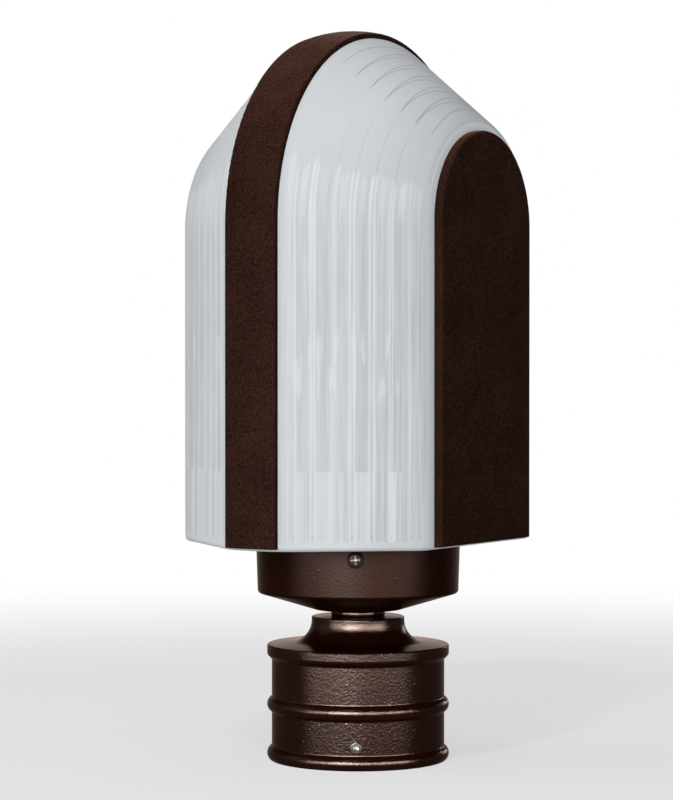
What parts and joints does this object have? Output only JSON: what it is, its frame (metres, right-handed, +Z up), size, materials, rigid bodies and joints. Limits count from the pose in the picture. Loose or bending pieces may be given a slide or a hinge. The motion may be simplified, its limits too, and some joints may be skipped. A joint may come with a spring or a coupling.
{
  "type": "post-top lantern head",
  "caption": "Post-top lantern head: arched ribbed glass shade with a dark strap and end panels, seated in a screw-held cup on a turned fitter that clamps over a post.",
  "frame": {"origin": "on the axis at the bottom rim of the post fitter", "axes": "+Z up along the post axis, +X towards one end panel, +Y across the arch of the strap"},
  "size_m": [0.1516, 0.2052, 0.3736],
  "materials": {
    "cast_bronze": "semi-gloss dark bronze paint over a casting",
    "trim_bronze": "matte fine-textured dark bronze powder coat",
    "shade_glass": "frosted, ribbed inside",
    "bright_steel": "plain",
    "zinc_steel": "zinc plated",
    "porcelain": "white glaze",
    "brass": "plain",
    "gasket_rubber": "matte",
    "tip_silicone": "translucent white",
    "black_insulation": "wire insulation",
    "white_insulation": "wire insulation",
    "green_insulation": "wire insulation",
    "splice_plastic": "splice cap",
    "ground_green": "green screw",
    "lamp_glass": "frosted white",
    "lamp_bead": "black insulating bead",
    "lamp_wire": "drawn wire"
  },
  "bodies": {
    "fixture": {"post_fitter": "cast_bronze", "neck_collar": "cast_bronze", "holder_cup": "cast_bronze", "lower_lock_washer": "zinc_steel", "lower_locknut": "zinc_steel", "threaded_nipple": "zinc_steel", "neck_gasket": "gasket_rubber", "bracket_spacer": "zinc_steel", "socket_bracket": "zinc_steel", "upper_lock_washer": "zinc_steel", "upper_locknut": "zinc_steel", "bracket_screws": "zinc_steel", "socket_body": "porcelain", "socket_shell": "brass", "centre_contact": "brass", "terminal_screws": "brass", "ground_screw": "ground_green", "hot_lead": "black_insulation", "neutral_lead": "white_insulation", "ground_lead": "green_insulation", "wire_connectors": "splice_plastic"},
    "shade": {"glass_shade": "shade_glass", "centre_strap": "trim_bronze", "end_panel_right": "trim_bronze", "end_panel_left": "trim_bronze"},
    "lamp": {"lamp_envelope": "lamp_glass", "lamp_cap": "brass", "lamp_insulator": "lamp_bead", "lamp_eyelet": "brass", "lamp_stem": "lamp_glass", "lamp_filament": "lamp_wire"},
    "shade_screw_1": {"shade_screw_1": "bright_steel", "shade_screw_tip_1": "tip_silicone"},
    "fitter_screw_1": {"fitter_screw_1": "bright_steel"},
    "shade_screw_2": {"shade_screw_2": "bright_steel", "shade_screw_tip_2": "tip_silicone"},
    "fitter_screw_2": {"fitter_screw_2": "bright_steel"},
    "shade_screw_3": {"shade_screw_3": "bright_steel", "shade_screw_tip_3": "tip_silicone"},
    "fitter_screw_3": {"fitter_screw_3": "bright_steel"}
  },
  "joints": [
    {"name": "shade_lift", "type": "slide", "parent": "fixture", "child": "shade", "axis": [0, 0, 1], "range_m": [0, 0.15]},
    {"name": "lamp_turn", "type": "hinge", "parent": "fixture", "child": "lamp", "pos_m": [0, 0, 0.135], "axis": [0, 0, 1], "range_deg": [0, 1080]},
    {"name": "shade_screw_1_back_off", "type": "slide", "parent": "fixture", "child": "shade_screw_1", "axis": [0.5, -0.866, 0], "range_m": [0, 0.003]},
    {"name": "fitter_screw_1_clamp", "type": "slide", "parent": "fixture", "child": "fitter_screw_1", "axis": [-0.5, 0.866, 0], "range_m": [0, 0.004]},
    {"name": "shade_screw_2_back_off", "type": "slide", "parent": "fixture", "child": "shade_screw_2", "axis": [0.5, 0.866, 0], "range_m": [0, 0.003]},
    {"name": "fitter_screw_2_clamp", "type": "slide", "parent": "fixture", "child": "fitter_screw_2", "axis": [-0.5, -0.866, 0], "range_m": [0, 0.004]},
    {"name": "shade_screw_3_back_off", "type": "slide", "parent": "fixture", "child": "shade_screw_3", "axis": [-1, 0, 0], "range_m": [0, 0.003]},
    {"name": "fitter_screw_3_clamp", "type": "slide", "parent": "fixture", "child": "fitter_screw_3", "axis": [1, 0, 0], "range_m": [0, 0.004]}
  ]
}
